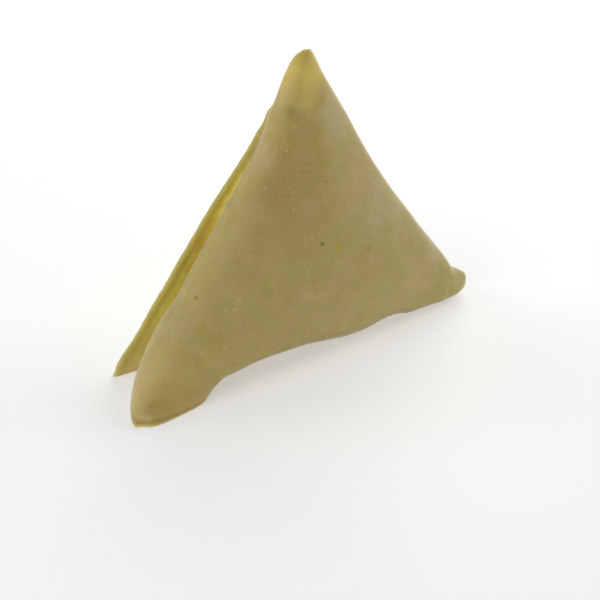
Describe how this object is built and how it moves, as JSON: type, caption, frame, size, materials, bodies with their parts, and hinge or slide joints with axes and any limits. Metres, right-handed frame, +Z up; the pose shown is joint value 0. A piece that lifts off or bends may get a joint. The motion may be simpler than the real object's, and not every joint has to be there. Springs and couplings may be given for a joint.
{
  "type": "chicken samosa",
  "caption": "Raw folded samosa: a flat-sided triangle of pale pastry standing on its base, with a round heel, a pinched ear, a blunt tip and the cut edge of the last wrap standing free.",
  "frame": {"origin": "on the ground under the middle of the bounding box", "axes": "+X along the base from the round heel towards the pinched ear, -Y out of the plain face, +Y out of the side that the loose flap lies on, +Z up to the tip"},
  "size_m": [0.0978, 0.025, 0.0723],
  "materials": {
    "dough": "matt raw pastry, very slightly waxy"
  },
  "bodies": {
    "root": {"samosa": "dough"}
  },
  "joints": []
}
